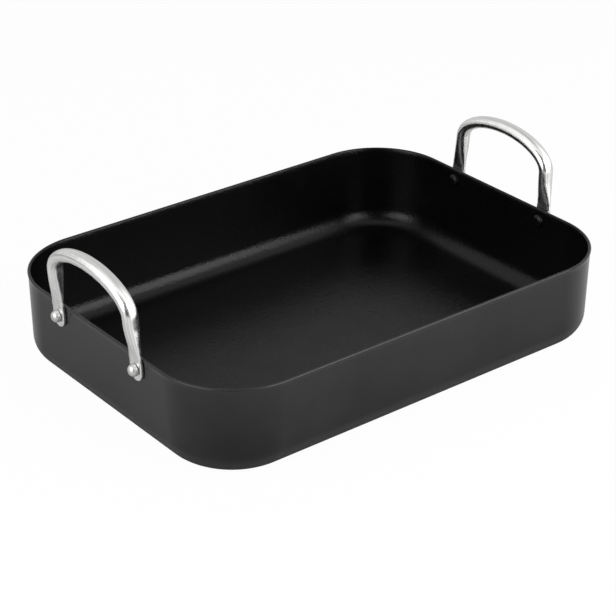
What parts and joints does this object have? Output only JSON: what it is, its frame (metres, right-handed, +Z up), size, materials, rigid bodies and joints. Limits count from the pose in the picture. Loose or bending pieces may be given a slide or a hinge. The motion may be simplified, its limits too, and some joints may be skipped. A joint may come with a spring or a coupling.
{
  "type": "roasting pan",
  "caption": "Rectangular roasting pan with drafted walls, round corners and a dark non-stick inside, lifted by upright loop handles riveted to its end walls.",
  "frame": {"origin": "middle of the underside of the base, on the surface that the pan stands on", "axes": "+X along the pan through both handles, +Y across it, +Z up out of its mouth"},
  "size_m": [0.4208, 0.287, 0.1327],
  "materials": {
    "pan_body": "hard-anodised matt dark grey outside, satin black non-stick coating inside",
    "handle": "polished stainless steel",
    "rivet": "polished outer head, dark coated inner head"
  },
  "bodies": {
    "root": {"pan_body": "pan_body", "left_handle": "handle", "left_handle_front_rivet": "rivet", "left_handle_back_rivet": "rivet", "right_handle": "handle", "right_handle_front_rivet": "rivet", "right_handle_back_rivet": "rivet"}
  },
  "joints": []
}
